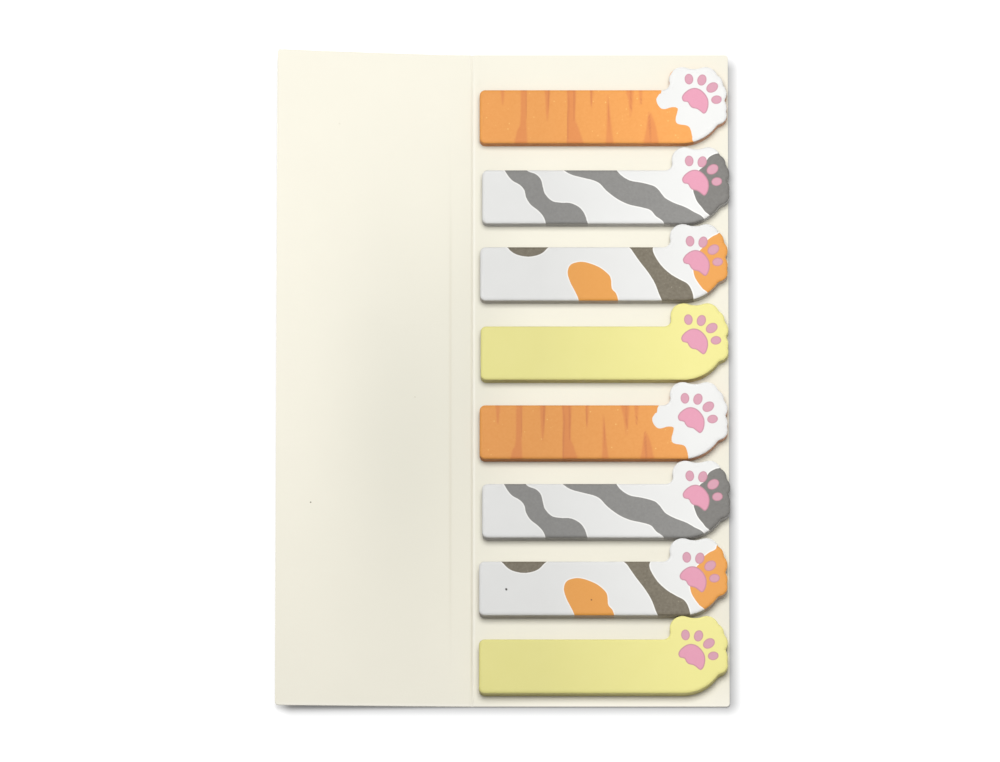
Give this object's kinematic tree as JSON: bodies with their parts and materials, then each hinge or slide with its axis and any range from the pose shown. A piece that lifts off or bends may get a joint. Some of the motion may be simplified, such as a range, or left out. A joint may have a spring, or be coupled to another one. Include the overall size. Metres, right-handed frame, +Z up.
{
  "type": "sticky index tabs",
  "caption": "Pads of paw-shaped sticky index tabs in a creased paper card that folds shut over them; shown laid open.",
  "frame": {"origin": "under the middle of the part's bounding box, on the surface that it lies on", "axes": "+Z up out of the laid-open card, +Y along the card's long side, +X from the cover flap towards the paws"},
  "size_m": [0.0966, 0.1456, 0.0046],
  "materials": {
    "card": "matt cream card",
    "orange_paper": "smooth printed paper, orange tabby with a white paw",
    "grey_paper": "smooth printed paper, white with grey bands",
    "calico_paper": "smooth printed paper, off-white with dark and orange patches",
    "yellow_paper": "smooth printed paper, plain pale yellow"
  },
  "bodies": {
    "root": {"folded_card": "card", "tab_pad_1_orange": "orange_paper", "tab_pad_2_grey": "grey_paper", "tab_pad_3_calico": "calico_paper", "tab_pad_4_yellow": "yellow_paper", "tab_pad_5_orange": "orange_paper", "tab_pad_6_grey": "grey_paper", "tab_pad_7_calico": "calico_paper", "tab_pad_8_yellow": "yellow_paper"}
  },
  "joints": []
}
